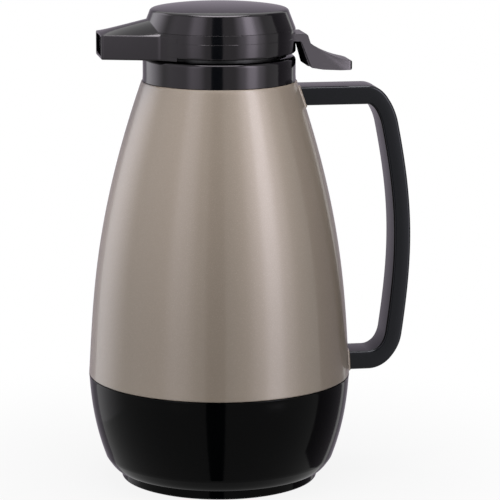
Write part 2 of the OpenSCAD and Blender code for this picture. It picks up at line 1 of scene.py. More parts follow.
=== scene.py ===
# %% [markdown]
# # A thermal carafe with a pouring lid
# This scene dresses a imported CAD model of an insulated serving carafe: a painted metal body on a
# glossy black base, a bow handle, a screw-in lid with a boxy spout and a thumb lever. The CAD
# model is the frame. It fixes where everything is and how it moves, and Blender adds the
# rounded edges, the paint, the plastics and the light.

# %% Load the frame
import math

import bmesh
import bpy
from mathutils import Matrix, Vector


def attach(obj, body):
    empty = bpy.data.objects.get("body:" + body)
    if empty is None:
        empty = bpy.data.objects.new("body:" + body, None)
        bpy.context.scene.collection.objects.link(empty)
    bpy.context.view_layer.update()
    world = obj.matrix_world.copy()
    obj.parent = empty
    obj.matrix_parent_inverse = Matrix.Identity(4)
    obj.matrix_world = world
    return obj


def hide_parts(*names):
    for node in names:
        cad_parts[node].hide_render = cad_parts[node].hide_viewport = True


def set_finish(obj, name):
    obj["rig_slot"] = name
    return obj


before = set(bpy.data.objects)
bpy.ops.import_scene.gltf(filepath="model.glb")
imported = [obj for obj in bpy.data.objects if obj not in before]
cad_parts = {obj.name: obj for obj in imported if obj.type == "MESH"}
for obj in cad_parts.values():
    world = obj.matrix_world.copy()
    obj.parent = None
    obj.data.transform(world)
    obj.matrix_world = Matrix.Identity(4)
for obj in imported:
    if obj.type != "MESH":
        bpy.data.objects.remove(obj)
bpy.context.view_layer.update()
print("nodes:", len(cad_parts))

# %% [markdown]
# ## Camera
# The photograph is taken with a long lens from a little above the lid, so that verticals stay
# nearly parallel and the collar shows as a shallow ellipse. A focal length of 195 mm on a 36 mm
# sensor, almost 1.4 m away, gives that view. The body's axis stands exactly upright in the
# photograph although it is left of the middle, so the camera faces the axis and a small sideways
# lens shift places it, as a crop of a centred photograph would.

# %% Camera
CAMERA_X, CAMERA_Y, CAMERA_HEIGHT = -0.21543, -1.36017, 0.39129
scene = bpy.context.scene
camera_data = bpy.data.cameras.new("camera")
camera_data.sensor_width = 36
camera_data.lens = 194.66
camera = bpy.data.objects.new("camera", camera_data)
camera.location = (CAMERA_X, CAMERA_Y, CAMERA_HEIGHT)
camera_data.shift_x = 0.0617
camera.rotation_euler = (math.radians(78.86), 0, math.radians(-9))
scene.collection.objects.link(camera)
scene.camera = camera
print("camera distance from the axis:", round(camera.location.to_2d().length, 3))

# %% [markdown]
# ## Lines for turned parts
# Nearly everything here is round: body, base, collar, cap and flask came off a mould that is
# itself turned. A turned part is one line in the (radius, height) plane. `bezier` draws its
# long curves, and `rounded` replaces every sharp corner with a small arc, because a moulded
# edge is never sharp and its round is what catches the light. All lines are in millimetres.

# %% Curves and rounded corners
MM = 0.001


def bezier(a, b, c, d, steps):
    """Points of a cubic curve from a to d."""
    line = []
    for i in range(steps + 1):
        t = i / steps
        s = 1 - t
        weights = (s ** 3, 3 * s * s * t, 3 * s * t * t, t ** 3)
        line.append(tuple(sum(w * p[k] for w, p in zip(weights, (a, b, c, d))) for k in (0, 1)))
    return line


def rounded(corners, steps=5):
    """A closed line whose corners (x, y, radius) become arcs; a corner without radius stays."""
    line = []
    count = len(corners)
    for i, corner in enumerate(corners):
        here = Vector(corner[:2])
        radius = corner[2] if len(corner) > 2 else 0
        to_last = Vector(corners[i - 1][:2]) - here
        to_next = Vector(corners[(i + 1) % count][:2]) - here
        if not radius or min(to_last.length, to_next.length) < 1e-6:
            line.append(tuple(here))
            continue
        half = to_last.angle(to_next) / 2
        if half > math.radians(88):
            line.append(tuple(here))
            continue
        reach = min(radius / math.tan(half), 0.48 * to_last.length, 0.48 * to_next.length)
        radius = reach * math.tan(half)
        last, following = to_last.normalized(), to_next.normalized()
        centre = here + (last + following).normalized() * (radius / math.sin(half))
        start, end = here + last * reach - centre, here + following * reach - centre
        for k in range(steps + 1):
            line.append(tuple(centre + radius * start.slerp(end, k / steps)))
    return line


print("a rounded square has", len(rounded([(0, 0, 1), (9, 0, 1), (9, 9, 1), (0, 9, 1)])), "points")

# %% [markdown]
# ## From lists of points to pieces
# Meshes are built straight from points and faces. `make_piece` welds doubled points, turns the
# faces outwards, shades smoothly but keeps real edges, and lets the piece ride on its CAD body
# in place of the CAD node that it stands for. `turned` sweeps a closed line round the axis, and
# `skin` joins a row of outlines.

# %% Pieces
made = {}


def make_piece(name, points, faces, body, nodes, slot, edge_angle=32):
    """A smooth shaded mesh from millimetres that rides on a body and stands for its nodes."""
    mesh = bpy.data.meshes.new(name)
    mesh.from_pydata([tuple(c * MM for c in p) for p in points], [], faces)
    mesh.validate()
    work = bmesh.new()
    work.from_mesh(mesh)
    bmesh.ops.remove_doubles(work, verts=work.verts, dist=2e-6)
    bmesh.ops.dissolve_degenerate(work, edges=work.edges, dist=1e-6)
    bmesh.ops.recalc_face_normals(work, faces=work.faces)
    for edge in work.edges:
        edge.smooth = edge.calc_face_angle(0) < math.radians(edge_angle)
    for face in work.faces:
        face.smooth = True
    work.to_mesh(mesh)
    work.free()
    piece = bpy.data.objects.new(name, mesh)
    scene.collection.objects.link(piece)
    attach(piece, body)
    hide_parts(*nodes)
    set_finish(piece, slot)
    made[name] = piece
    print(f"{name}: {len(mesh.polygons)} faces, stands for {', '.join(nodes)}")
    return piece


def turned(line, around=192):
    """Points and faces of a closed (radius, height) line turned round the axis."""
    points = []
    for k in range(around):
        angle = 2 * math.pi * k / around
        points += [(r * math.cos(angle), r * math.sin(angle), z) for r, z in line]
    count = len(line)
    faces = []
    for k in range(around):
        here, there = k * count, (k + 1) % around * count
        for i in range(count):
            j = (i + 1) % count
            faces.append((here + i, here + j, there + j, there + i))
    return points, faces


def skin(rows, count, ends=True):
    """Faces between rows of points that each go once round, with a face over both ends."""
    faces = []
    for i in range(rows - 1):
        for k in range(count):
            a, b = i * count + k, i * count + (k + 1) % count
            faces.append((a, b, b + count, a + count))
    if ends:
        faces.append(tuple(range(count)))
        faces.append(tuple(range(rows * count - 1, (rows - 1) * count - 1, -1)))
    return faces


def together(*parts):
    """Several lots of points and faces as one."""
    points, faces = [], []
    for more_points, more_faces in parts:
        start = len(points)
        points += more_points
        faces += [tuple(i + start for i in face) for face in more_faces]
    return points, faces


# %% [markdown]
# ## Body shell
# The shell is a drawn metal sleeve, widest at the seam and pulled in to the collar in one long
# curve. Its line is the CAD's curve. The two pads under the handle stand one millimetre proud,
# with a soft edge that shows as a thin pale rim, so they are small grids laid on the curve.

# %% Sizes of the body
BODY_R, SEAM_Z = 68.0, 55.6
SHOULDER_R, SHOULDER_Z = 39.9, 208.9
WALL = 2.2
ARM_TOP_Z, ARM_LOW_Z = 200.9, 60.9
STRAP_W, STRAP_T, ARM_T = 20.5, 8.8, 9.6
PAD_PROUD, PAD_MARGIN = 1.0, 1.0

shell_line = bezier(
    (BODY_R, SEAM_Z), (BODY_R - 2.5, SEAM_Z + 39),
    (SHOULDER_R + 25.1, SHOULDER_Z - 72.5), (SHOULDER_R, SHOULDER_Z), 96,
)


def shell_radius(z):
    """Radius of the shell's outside at a height."""
    for low, high in zip(shell_line, shell_line[1:]):
        if z <= high[1]:
            share = max(0, (z - low[1]) / (high[1] - low[1]))
            return low[0] + share * (high[0] - low[0])
    return shell_line[-1][0]


print("shell radius under the upper arm:", round(shell_radius(ARM_TOP_Z), 2), "mm")

# %% Handle pads
def pad(z_from, z_to, half_width, edge=1.0, cells=64):
    """A plate that follows the shell and rises to its full height within its edge."""
    points, faces = [], []
    for i in range(cells + 1):
        v = 0.5 - 0.5 * math.cos(math.pi * i / cells)
        z = z_from + (z_to - z_from) * v
        for j in range(cells + 1):
            u = 0.5 - 0.5 * math.cos(math.pi * j / cells)
            y = half_width * (2 * u - 1)
            inward = min(z - z_from, z_to - z, half_width - abs(y))
            share = min(1, max(0, inward) / edge)
            proud = PAD_PROUD * math.sqrt(1 - (1 - share) ** 2)
            radius = shell_radius(z) + proud - 0.06
            points.append((math.sqrt(radius ** 2 - y ** 2), y, z))
    for i in range(cells):
        for j in range(cells):
            a = i * (cells + 1) + j
            faces.append((a, a + 1, a + cells + 2, a + cells + 1))
    return points, faces


pad_half_w = STRAP_W / 2 + PAD_MARGIN
pad_half_h = ARM_T / 2 + PAD_MARGIN
upper_pad = pad(ARM_TOP_Z - pad_half_h, ARM_TOP_Z + pad_half_h, pad_half_w)
lower_pad = pad(SEAM_Z + 0.2, ARM_LOW_Z + pad_half_h, pad_half_w)
print("points in each pad:", len(upper_pad[0]))

# %% Shell
shell_outside = [(r, z) for r, z in shell_line if SEAM_Z + 0.8 < z < SHOULDER_Z - 0.6]
shell_inside = [(r - WALL, z) for r, z in reversed(shell_line) if SEAM_Z + 3 < z < SHOULDER_Z - 2]
shell_profile = (
    rounded([(62.4, 46.6, 0), (64.4, 46.6, 0.4), (64.4, SEAM_Z + 0.12, 0), (BODY_R, SEAM_Z + 0.12, 0.45),
             (*shell_outside[0], 0)])[:-1]
    + shell_outside
    + [(SHOULDER_R + 0.1, SHOULDER_Z - 0.35), (SHOULDER_R - 0.1, SHOULDER_Z - 0.08)]
    + [(SHOULDER_R - 0.4, SHOULDER_Z), (SHOULDER_R - WALL, SHOULDER_Z)]
    + shell_inside
    + [(62.4, SEAM_Z + 1)]
)
make_piece(
    "shell", *together(turned(shell_profile), upper_pad, lower_pad),
    "carafe", ["outer_shell"], "shell_paint",
)

# %% [markdown]
# ## Base cup
# The base is a thick moulded cup of deep glossy black. It bulges under the seam, turns in to a
# knuckle and ends in a narrow foot with a ledge above it. The ledge has a round of its own,
# which gives the fine bright line low down on the photograph. The rubber ring underneath is
# the CAD's own, and the carafe stands on it.

# %% Base cup
FOOT_R, FOOT_H = 51.2, 5.3
KNUCKLE_R, KNUCKLE_Z = FOOT_R + 8.2, FOOT_H + 6.7
cup_low = bezier(
    (FOOT_R + 1.8, FOOT_H + 0.1), (FOOT_R + 4.1, FOOT_H + 0.5),
    (KNUCKLE_R - 2.1, KNUCKLE_Z - 3.2), (KNUCKLE_R, KNUCKLE_Z), 16,
)
cup_high = bezier(
    (KNUCKLE_R, KNUCKLE_Z), (KNUCKLE_R + 7.9, KNUCKLE_Z + 20.9),
    (BODY_R - 0.6, SEAM_Z - 4.8), (BODY_R, SEAM_Z), 40,
)
cup_side = [p for p in cup_low[1:] + cup_high[1:] if p[1] < SEAM_Z - 0.7]
cup_profile = (
    rounded([
        (0, 3), (43.4, 3, 0.3), (43.4, 0.5, 0.4), (44.9, 0.5, 0.2), (44.9, 2.5, 0), (49.1, 2.5, 0),
        (49.1, 0.5, 0.2), (FOOT_R, 0.5, 1.5), (FOOT_R, FOOT_H, 0.5), (FOOT_R + 1.8, FOOT_H + 0.1, 0.7),
        (*cup_side[1], 0),
    ])[:-1]
    + cup_side[1:]
    + [(BODY_R - 0.02, SEAM_Z - 0.45), (BODY_R - 0.14, SEAM_Z - 0.16), (BODY_R - 0.45, SEAM_Z - 0.04)]
    + [(BODY_R - 2.4, SEAM_Z - 0.04), (BODY_R - 3, SEAM_Z - 12), (57.2, 12.8), (49, 5.9), (0, 5.9)]
)
make_piece("base_cup", *turned(cup_profile), "carafe", ["base_cup"], "base_black")

# %% [markdown]
# ## Collar
# The collar is a black ring that closes the shell and holds the flask down. Its top edge has a
# generous round, and its bore carries three ridges of a quick thread. On the real part they
# climb as they go round and fade out at both ends, so each is a swept ridge that does this.

# %% Thread ridges
RIDGE_SECTION = ((-0.25, -1.5), (0.75, -0.75), (1, -0.3), (1, 0.3), (0.75, 0.75), (-0.25, 1.5))


def thread_ridge(start, span, radius, depth, z, climb, steps=48):
    """A ridge on a helix that fades out at both ends; a negative depth points inwards."""
    points = []
    for i in range(steps + 1):
        t = i / steps
        angle = math.radians(start + span * t)
        fade = min(1, 6 * t, 6 * (1 - t)) ** 0.5
        middle = z + climb * (t - 0.5)
        for out, up in RIDGE_SECTION:
            r = radius + depth * (out if out < 0 else out * fade)
            points.append((r * math.cos(angle), r * math.sin(angle), middle + up * (0.4 + 0.6 * fade)))
    return points, skin(steps + 1, len(RIDGE_SECTION))


def three_ridges(radius, depth, low):
    """Three ridges round the axis, each a little above the one before."""
    return [thread_ridge(120 * i, 85, radius, depth, low + 1.2 * i, 0.6) for i in range(3)]


# %% Collar
COLLAR_R = 39.2
COLLAR_TOP = SHOULDER_Z + 12.9
BORE_R = 34.0
LIP_TOP = SHOULDER_Z - 0.3
collar_profile = rounded([
    (COLLAR_R + 0.2, SHOULDER_Z + 0.05, 0.3), (COLLAR_R, SHOULDER_Z + 3, 0), (COLLAR_R, COLLAR_TOP, 2.2),
    (BORE_R + 0.3, COLLAR_TOP, 0.9), (BORE_R, LIP_TOP, 0.5), (25.1, LIP_TOP, 0.4),
    (25.1, LIP_TOP - 2.4, 0.4), (37.2, LIP_TOP - 2.4, 0.3), (37.2, SHOULDER_Z + 0.05, 0),
], steps=8)
bore_ridges = three_ridges(BORE_R, -0.95, LIP_TOP + 6.9)
make_piece(
    "collar", *together(turned(collar_profile), *bore_ridges),
    "carafe", ["neck_collar"], "gloss_black",
)

# %% [markdown]
# ## Handle
# The handle is one moulded strap. It leaves the upper pad level, turns down round a tight corner,
# bows outwards a little and comes back in at the bottom. A sweep of a rectangle with round
# corners along that line gives it, with its flat faces and its narrow bright edges. The line is
# the CAD's with more points. The strap thickens towards its arms over a shorter way than in the
# CAD, because the photograph's inner corners are a little more open.

# %% Handle
HANDLE_REACH = 95.1
SWELL_LENGTH = 5
LOW_END = HANDLE_REACH - 10
strap_path = (
    [(39.0, ARM_TOP_Z), (52.0, ARM_TOP_Z), (HANDLE_REACH - 27, ARM_TOP_Z)]
    + bezier((HANDLE_REACH - 19, ARM_TOP_Z), (HANDLE_REACH - 13.1, ARM_TOP_Z),
             (HANDLE_REACH - 8.6, ARM_TOP_Z - 8.6), (HANDLE_REACH - 7.15, ARM_TOP_Z - 16), 28)
    + bezier((HANDLE_REACH - 7.15, ARM_TOP_Z - 16), (HANDLE_REACH + 1.4, ARM_TOP_Z - 58),
             (HANDLE_REACH + 2, ARM_LOW_Z + 58), (HANDLE_REACH - 4.1, ARM_LOW_Z + 14), 60)[1:]
    + bezier((HANDLE_REACH - 4.1, ARM_LOW_Z + 14), (HANDLE_REACH - 5.1, ARM_LOW_Z + 6.9),
             (LOW_END - 0.2, ARM_LOW_Z), (LOW_END - 7.5, ARM_LOW_Z), 24)[1:]
    + [(72.0, ARM_LOW_Z), (66.5, ARM_LOW_Z)]
)
strap_section = rounded([
    (STRAP_W / 2, -STRAP_T / 2, 1.4), (STRAP_W / 2, STRAP_T / 2, 1.4),
    (-STRAP_W / 2, STRAP_T / 2, 1.4), (-STRAP_W / 2, -STRAP_T / 2, 1.4),
], steps=7)


def swell(z):
    """How much thicker the strap is at a height: full on the arms, none on the grip."""
    share = min(1, abs(ARM_TOP_Z - z) / SWELL_LENGTH, abs(z - ARM_LOW_Z) / SWELL_LENGTH)
    return 1 + (ARM_T / STRAP_T - 1) * (1 - share)


def swept(path, section, ends):
    """A section swept along a line in the XZ plane; `ends` moves the points of both ends."""
    points, faces = [], []
    last = len(path) - 1
    for i, (x, z) in enumerate(path):
        before, after = path[max(i - 1, 0)], path[min(i + 1, last)]
        run = Vector(after) - Vector(before)
        run.normalize()
        for y, up in section:
            up *= swell(z)
            point = (x - run.y * up, y, z + run.x * up)
            points.append(ends(point) if i in (0, last) else point)
    count = len(section)
    for i in range(last):
        for k in range(count):
            a, b = i * count + k, i * count + (k + 1) % count
            faces.append((a, a + count, b + count, b))
    faces.append(tuple(range(count)))
    faces.append(tuple(range((last + 1) * count - 1, last * count - 1, -1)))
    return points, faces


def onto_pad(point):
    """Moves a point of the strap's end just under the surface of its pad."""
    radius = shell_radius(point[2]) + 0.4
    return (math.sqrt(radius ** 2 - point[1] ** 2), point[1], point[2])


make_piece("handle", *swept(strap_path, strap_section, onto_pad), "carafe", ["handle"], "handle_black")

# %% [markdown]
# ## Cap
# The cap is a shallow turned lid with a slightly domed top. Its rim has a tight round between
# the sloped side and the dome, which separates the two tones in the photograph.

# %% Cap
LID_Z = COLLAR_TOP + 1.8
RING_TOP = LID_Z + 12.4
CAP_R = 35.0
RIM_Z = RING_TOP + 10
CAP_TOP = RING_TOP + 12.4
cap_profile = (
    rounded([(35, RING_TOP - 2, 0), (36.7, RING_TOP - 2, 0.3), (36.7, RING_TOP + 0.05, 0),
             (COLLAR_R - 0.18, RING_TOP + 0.03, 0.12), (CAP_R + 0.9, RIM_Z - 2, 0)])[:-1]
    + [(CAP_R + 0.9, RIM_Z - 2)]
    + bezier((CAP_R + 0.75, RIM_Z - 1.5), (CAP_R + 0.4, RIM_Z - 0.4),
             (CAP_R - 0.4, RIM_Z), (CAP_R - 2, RIM_Z + 0.3), 12)
    + bezier((CAP_R - 2, RIM_Z + 0.3), (CAP_R * 0.7, CAP_TOP - 0.5),
             (CAP_R * 0.35, CAP_TOP), (0, CAP_TOP), 32)[1:]
    + [(0, CAP_TOP - 2), (CAP_R - 2.5, RIM_Z - 1.8), (35, RING_TOP + 1)]
)
make_piece("cap", *turned(cap_profile), "lid", ["lid_cap"], "gloss_black")

# %% [markdown]
# ## Lid ring and spout
# Ring and spout are one moulding. The spout is a square channel under an arched hood that
# rises towards the cap, and its sides flow into the ring with a soft fillet. It could be cut
# out of blocks, but a loft gives cleaner light: the outside is a row of cross-sections whose
# half width is a smooth maximum of the spout's wall and the ring's circle, and the same row
# turns round the lip and goes back in as the hollow.

# %% Spout sections
SPOUT_REACH, SPOUT_ROOT = 62.1, 30.0
TIP_HALF, ROOT_HALF = 11.8, 23.6
SPOUT_LOW = COLLAR_TOP + 0.4
EAVE_Z = SPOUT_LOW + 12.1
LIP_ROUND = 0.75
LIP_X = SPOUT_REACH - LIP_ROUND


def smooth_max(a, b, width):
    """The larger of two values, with a soft change from one to the other."""
    gap = max(width - abs(a - b), 0) / width
    return max(a, b) + gap * gap * width / 4


def spout_section(half, low, eave, rise, corner=0.9, arch=18):
    """The outline of the channel: a flat floor, upright sides and an arched top."""
    corners = [(-half, low, corner), (half, low, corner), (half, eave, corner)]
    edge = (0.93 * half, eave + rise * 0.1351)
    line = rounded(corners + [(*edge, 0), (0, eave + rise, 0), (-half, eave, 0)])
    right = [p for p in line if p[1] <= eave + rise * 0.12 and p[0] > 0]
    top = []
    for i in range(1, arch):
        s = 0.93 - 1.86 * i / arch
        top.append((s * half, eave + rise * (1 - s * s)))
    left = [(-x, z) for x, z in reversed(right)]
    return right + [edge] + top + [(-edge[0], edge[1])] + left


sample = spout_section(TIP_HALF, SPOUT_LOW, EAVE_Z, 0.7)
print("a spout section has", len(sample), "points")

# %% Spout
def spout_ring(x, shrink=0.0):
    """The outline of the spout at a distance from the axis, drawn in by a wall."""
    share = (SPOUT_REACH - x) / (SPOUT_REACH - SPOUT_ROOT)
    wall = TIP_HALF + (ROOT_HALF - TIP_HALF) * share
    rise = 0.7 + 7.7 * share
    if shrink < 0.9:
        circle = math.sqrt(max(COLLAR_R ** 2 - x ** 2, 0)) - 0.12
        wall = smooth_max(wall, circle, 3.2) if x > 31 else circle
    half = wall - shrink
    low = SPOUT_LOW - 0.3 * (1 - share) + shrink
    line = spout_section(half, low, EAVE_Z - shrink * 0.8, max(rise - shrink * 0.4, 0.3))
    return [(-x, y, z) for y, z in line]


stations = [26, 27.5, 29, 30, 31.2]
stations += [31.2 + (LIP_X - 31.2) * i / 44 for i in range(1, 45)]
rings = [spout_ring(x) for x in stations]
for k in range(1, 7):
    turn = math.pi * k / 6
    rings.append(spout_ring(LIP_X + LIP_ROUND * math.sin(turn), LIP_ROUND - LIP_ROUND * math.cos(turn)))
rings += [spout_ring(LIP_X - 2 * i, 2 * LIP_ROUND) for i in range(1, 13)]
count = len(rings[0])
spout_points = [p for ring in rings for p in ring]
spout_faces = skin(len(rings), count, ends=False)
print("spout rings:", len(rings), "of", count, "points")

# %% [markdown]
# ## Openings in the ring
# The ring is turned, and then two openings are cut through its wall: the channel behind the
# spout and the slot that the thumb lever comes out of. A Boolean modifier cuts exactly, and it
# is applied at once, so that the piece stays a plain mesh.

# %% Lid ring
ring_profile = rounded([
    (0, LID_Z, 0), (COLLAR_R, LID_Z, 1.3), (COLLAR_R, LID_Z + 7.7, 0.1),
    (COLLAR_R - 0.15, LID_Z + 7.9, 0.1), (COLLAR_R - 0.15, RING_TOP, 0.12),
    (37, RING_TOP, 0.2), (37, LID_Z + 1.5, 0.4), (0, LID_Z + 1.5, 0),
], steps=7)


def block(low, high):
    """Points and faces of a box between two corners."""
    points = [(x, y, z) for x in (low[0], high[0]) for y in (low[1], high[1]) for z in (low[2], high[2])]
    faces = [(0, 1, 3, 2), (4, 6, 7, 5), (0, 4, 5, 1), (2, 3, 7, 6), (0, 2, 6, 4), (1, 5, 7, 3)]
    return points, faces


def cut(points, faces, cutters):
    """Subtracts the cutters from a closed mesh and returns the points and faces that are left."""
    objects = []
    for number, (p, f) in enumerate([(points, faces)] + cutters):
        mesh = bpy.data.meshes.new(f"cut_{number}")
        mesh.from_pydata(p, [], f)
        work = bmesh.new()
        work.from_mesh(mesh)
        bmesh.ops.remove_doubles(work, verts=work.verts, dist=1e-3)
        bmesh.ops.dissolve_degenerate(work, edges=work.edges, dist=1e-4)
        bmesh.ops.recalc_face_normals(work, faces=work.faces)
        work.to_mesh(mesh)
        work.free()
        thing = bpy.data.objects.new(f"cut_{number}", mesh)
        scene.collection.objects.link(thing)
        objects.append(thing)
    for cutter in objects[1:]:
        change = objects[0].modifiers.new("cut", "BOOLEAN")
        change.operation = "DIFFERENCE"
        change.solver = "EXACT"
        change.object = cutter
    view = bpy.context.evaluated_depsgraph_get()
    result = bpy.data.meshes.new_from_object(objects[0].evaluated_get(view))
    left = [tuple(v.co) for v in result.vertices], [tuple(f.vertices) for f in result.polygons]
    for thing in objects:
        bpy.data.objects.remove(thing)
    return left


LEVER_W = 19.0
slot_cut = block((33, -LEVER_W / 2 - 0.4, LID_Z + 2.8), (43, LEVER_W / 2 + 0.4, 233.7))
mouth_cut = block((-45, -15, LID_Z + 1.6), (-33, 15, EAVE_Z - 1.6))
ring_points, ring_faces = cut(*turned(ring_profile, 160), [slot_cut, mouth_cut])
make_piece(
    "ring_and_spout", *together((ring_points, ring_faces), (spout_points, spout_faces)),
    "lid", ["lid_housing"], "gloss_black",
)

# %% [markdown]
# ## Thumb lever
# The lever is a solid moulding that comes out of the slot, drops down behind the ring and ends
# in a long pad with a hollow for the thumb. It is one side view pushed out to the lever's
# width. Its two side edges get a small round with a bevel, and the end of the pad is drawn
# back at both corners, so that it has no sharp upright edges. The photograph shows a dark shape
# between its sides, a recess or a rib. It is built as a rib out of the heel.

# %% Thumb lever
PIVOT_X, PIN_Z = 30.0, 233.3
TIP_Z = LID_Z - 9.7
ARM_TOP = PIN_Z - 0.2
LEVER_REACH, TIP_T = 67.9, 4.7
HEEL_X, HEEL_Z = PIVOT_X + 11, ARM_TOP - 4
RIB_TOP = ARM_TOP - 3.9
thumb_line = bezier(
    (PIVOT_X + 15.1, PIN_Z - 4.6), (PIVOT_X + 20.2, PIN_Z - 8.4),
    (LEVER_REACH - 10.5, PIN_Z - 12.8), (LEVER_REACH - 1, TIP_Z + TIP_T + 0.4), 20,
)
lever_outline = rounded([
    (34.2, ARM_TOP - 3.8, 0), (HEEL_X, HEEL_Z, 1.2), (PIVOT_X + 15.6, TIP_Z + 3.6, 1.0),
    (PIVOT_X + 16.6, TIP_Z + 1.5, 0.5), (PIVOT_X + 22.6, TIP_Z + 0.5, 2), (LEVER_REACH - 6, TIP_Z, 3),
    (LEVER_REACH - 0.1, TIP_Z + 0.1, 0.9), (LEVER_REACH - 0.1, TIP_Z + TIP_T, 0.8),
    *[(x, z, 0) for x, z in reversed(thumb_line[1:-1])],
    (PIVOT_X + 14.5, ARM_TOP - 0.9, 1.1), (PIVOT_X + 13.4, ARM_TOP + 0.1, 1.2),
    (PIVOT_X + 11, ARM_TOP + 0.05, 0), (34.2, ARM_TOP, 0),
])
half_width = LEVER_W / 2
across = [-half_width, -half_width + 0.3, -half_width + 0.8, -half_width + 1.4, -half_width + 2]
across = across + [-4, 0, 4] + [-y for y in reversed(across)]
lever_points = []
for y in across:
    inward = max(abs(y) - half_width + 2, 0)
    limit = LEVER_REACH - (2 - math.sqrt(4 - inward ** 2))
    lever_points += [(min(x, limit), y, z) for x, z in lever_outline]
lever_faces = skin(len(across), len(lever_outline))
print("lever outline:", len(lever_outline), "points")

# %% Lever arm inside the lid
arm_outline = rounded([
    (-0.5, 232.0, 0.6), (26, 232.0, 0.5), (31, 229.7, 0.5), (40, 229.3, 0),
    (40, 233.0, 0), (34.6, 233.0, 0.4), (33, 234.7, 0.6), (-0.5, 234.7, 0.6),
])
SLOT_HALF = 3.6
arm_points = [(x, y, z) for y in (-7, -SLOT_HALF, SLOT_HALF, 7) for x, z in arm_outline]
stem_slot = block((-5, -SLOT_HALF, 228), (8, SLOT_HALF, 240))
lever_arm = cut(arm_points, skin(4, len(arm_outline)), [stem_slot])
print("lever arm:", len(lever_arm[1]), "faces")

# %% Lever rib and the whole lever
# The rib stands where a dark shape shows between the lever's sides, and it carries painted shade: the
# lever's finish makes it near black and without reflection.
rib_outline = rounded([
    (PIVOT_X + 10.5, RIB_TOP, 0.3), (PIVOT_X + 14.1, TIP_Z + 2.4, 1.4),
    (PIVOT_X + 18, TIP_Z + 2.1, 0.4), (PIVOT_X + 14, RIB_TOP, 0.4),
])
rib_half = half_width - 1.0
rib_points = [(x, y, z) for y in (-rib_half, rib_half) for x, z in rib_outline]
rib_faces = skin(2, len(rib_outline))
lever = make_piece(
    "lever", *together((lever_points, lever_faces), lever_arm, (rib_points, rib_faces)),
    "lever", ["thumb_lever"], "lever_black",
)
round_edges = lever.modifiers.new("round_edges", "BEVEL")
round_edges.width = 0.7 * MM
round_edges.segments = 4
round_edges.limit_method = "ANGLE"
round_edges.angle_limit = math.radians(50)
round_edges.harden_normals = True
print("lever rounds:", round_edges.width)

# %% [markdown]
# ## Stopper and seal
# These show when the lid is lifted: the stopper tube with its thread skirt, and the silicone
# ring that seals the flask. Both are turned, and the stopper repeats the collar's ridges on its
# outside. The silvered flask below them is the CAD's own and gets its finish further down.

# %% Stopper
SKIRT_R = BORE_R - 2.8
PLUG_Z = LID_Z - 26.6
PLUG_FLOOR = PLUG_Z + 2.4
WEB_Z = LIP_TOP + 1
stopper_profile = rounded([
    (9, PLUG_Z, 0.4), (22.6, PLUG_Z, 1.1), (22.6, WEB_Z, 0.4), (SKIRT_R, WEB_Z, 0.6),
    (SKIRT_R, LID_Z - 0.1, 0.3), (SKIRT_R - 1.8, LID_Z - 0.1, 0.3),
    (SKIRT_R - 1.8, WEB_Z + 2, 0.4), (22.6, WEB_Z + 2, 0.4),
    (22.6, LID_Z + 1.5, 0.3), (20.6, LID_Z + 1.5, 0.3), (20.6, PLUG_FLOOR, 0.6), (11, PLUG_FLOOR, 0.2),
    (10.4, PLUG_FLOOR + 1, 0.3), (9, PLUG_FLOOR + 1, 0.3),
])
skirt_ridges = three_ridges(SKIRT_R, 1.45, LIP_TOP + 6.3)
make_piece(
    "stopper", *together(turned(stopper_profile), *skirt_ridges),
    "lid", ["stopper"], "inner_black",
)

# %% Seal under the stopper
seal_profile = rounded([
    (25.5, LIP_TOP + 0.15, 0.3), (30.4, LIP_TOP + 0.15, 0.3),
    (30.4, WEB_Z - 0.15, 0.3), (25.5, WEB_Z - 0.15, 0.3),
])
make_piece("seal", *turned(seal_profile), "lid_gasket", ["stopper_seal"], "silicone")

# %% [markdown]
# ## Shader maths
# A material is a small calculation for each point of a surface. `Wire` wraps an output socket,
# so that such a calculation reads like arithmetic: `1 - mask` adds a Math node and gives its
# output. Every other node comes from `node`, which takes the type, the settings and the sockets.

# %% Wires
class Wire:
    """An output socket of a node tree that can be used in arithmetic."""

    def __init__(self, tree, socket=None):
        self.tree = tree
        self.socket = socket

    def node(self, kind, settings=None, sockets=None, output=0):
        """Adds a node: its settings first, then the values or links of its sockets."""
        new = self.tree.nodes.new(kind)
        for key, value in (settings or {}).items():
            if key == "stops":
                stops = new.color_ramp.elements
                while len(stops) < len(value):
                    stops.new(0.5)
                for stop, (place, colour) in zip(stops, value):
                    stop.position = place
                    stop.color = (*colour, 1)
            elif key == "interpolation":
                new.color_ramp.interpolation = value
            else:
                setattr(new, key, value)
        for key, value in (sockets or {}).items():
            if isinstance(value, Wire):
                self.tree.links.new(value.socket, new.inputs[key])
            else:
                new.inputs[key].default_value = value
        return Wire(self.tree, new.outputs[output])

    def maths(self, operation, first, second):
        return self.node("ShaderNodeMath", {"operation": operation}, {0: first, 1: second})

    def __add__(self, other):
        return self.maths("ADD", self, other)

    def __radd__(self, other):
        return self.maths("ADD", other, self)

    def __sub__(self, other):
        return self.maths("SUBTRACT", self, other)

    def __rsub__(self, other):
        return self.maths("SUBTRACT", other, self)

    def __mul__(self, other):
        return self.maths("MULTIPLY", self, other)

    def __rmul__(self, other):
        return self.maths("MULTIPLY", other, self)


# %% Starting a finish
def finish(name):
    """A new material, the wire of a point's place on the piece, and the material's shader."""
    material = bpy.data.materials.new(name)
    material.use_nodes = True
    tree = material.node_tree
    shader = next(n for n in tree.nodes if n.type == "BSDF_PRINCIPLED")
    start = Wire(tree)
    place = start.node("ShaderNodeTexCoord", output="Object")
    return material, place, shader


def noise(place, scale, detail=2, rough=0.5):
    """Smooth noise from 0 to 1, with `scale` lumps to the metre."""
    return place.node(
        "ShaderNodeTexNoise", None,
        {"Vector": place, "Scale": scale, "Detail": detail, "Roughness": rough},
    )


def ramp(value, *stops, kind="LINEAR"):
    """A colour ramp with the stops (place, colour) on a value."""
    return value.node("ShaderNodeValToRGB", {"stops": stops, "interpolation": kind}, {"Fac": value})


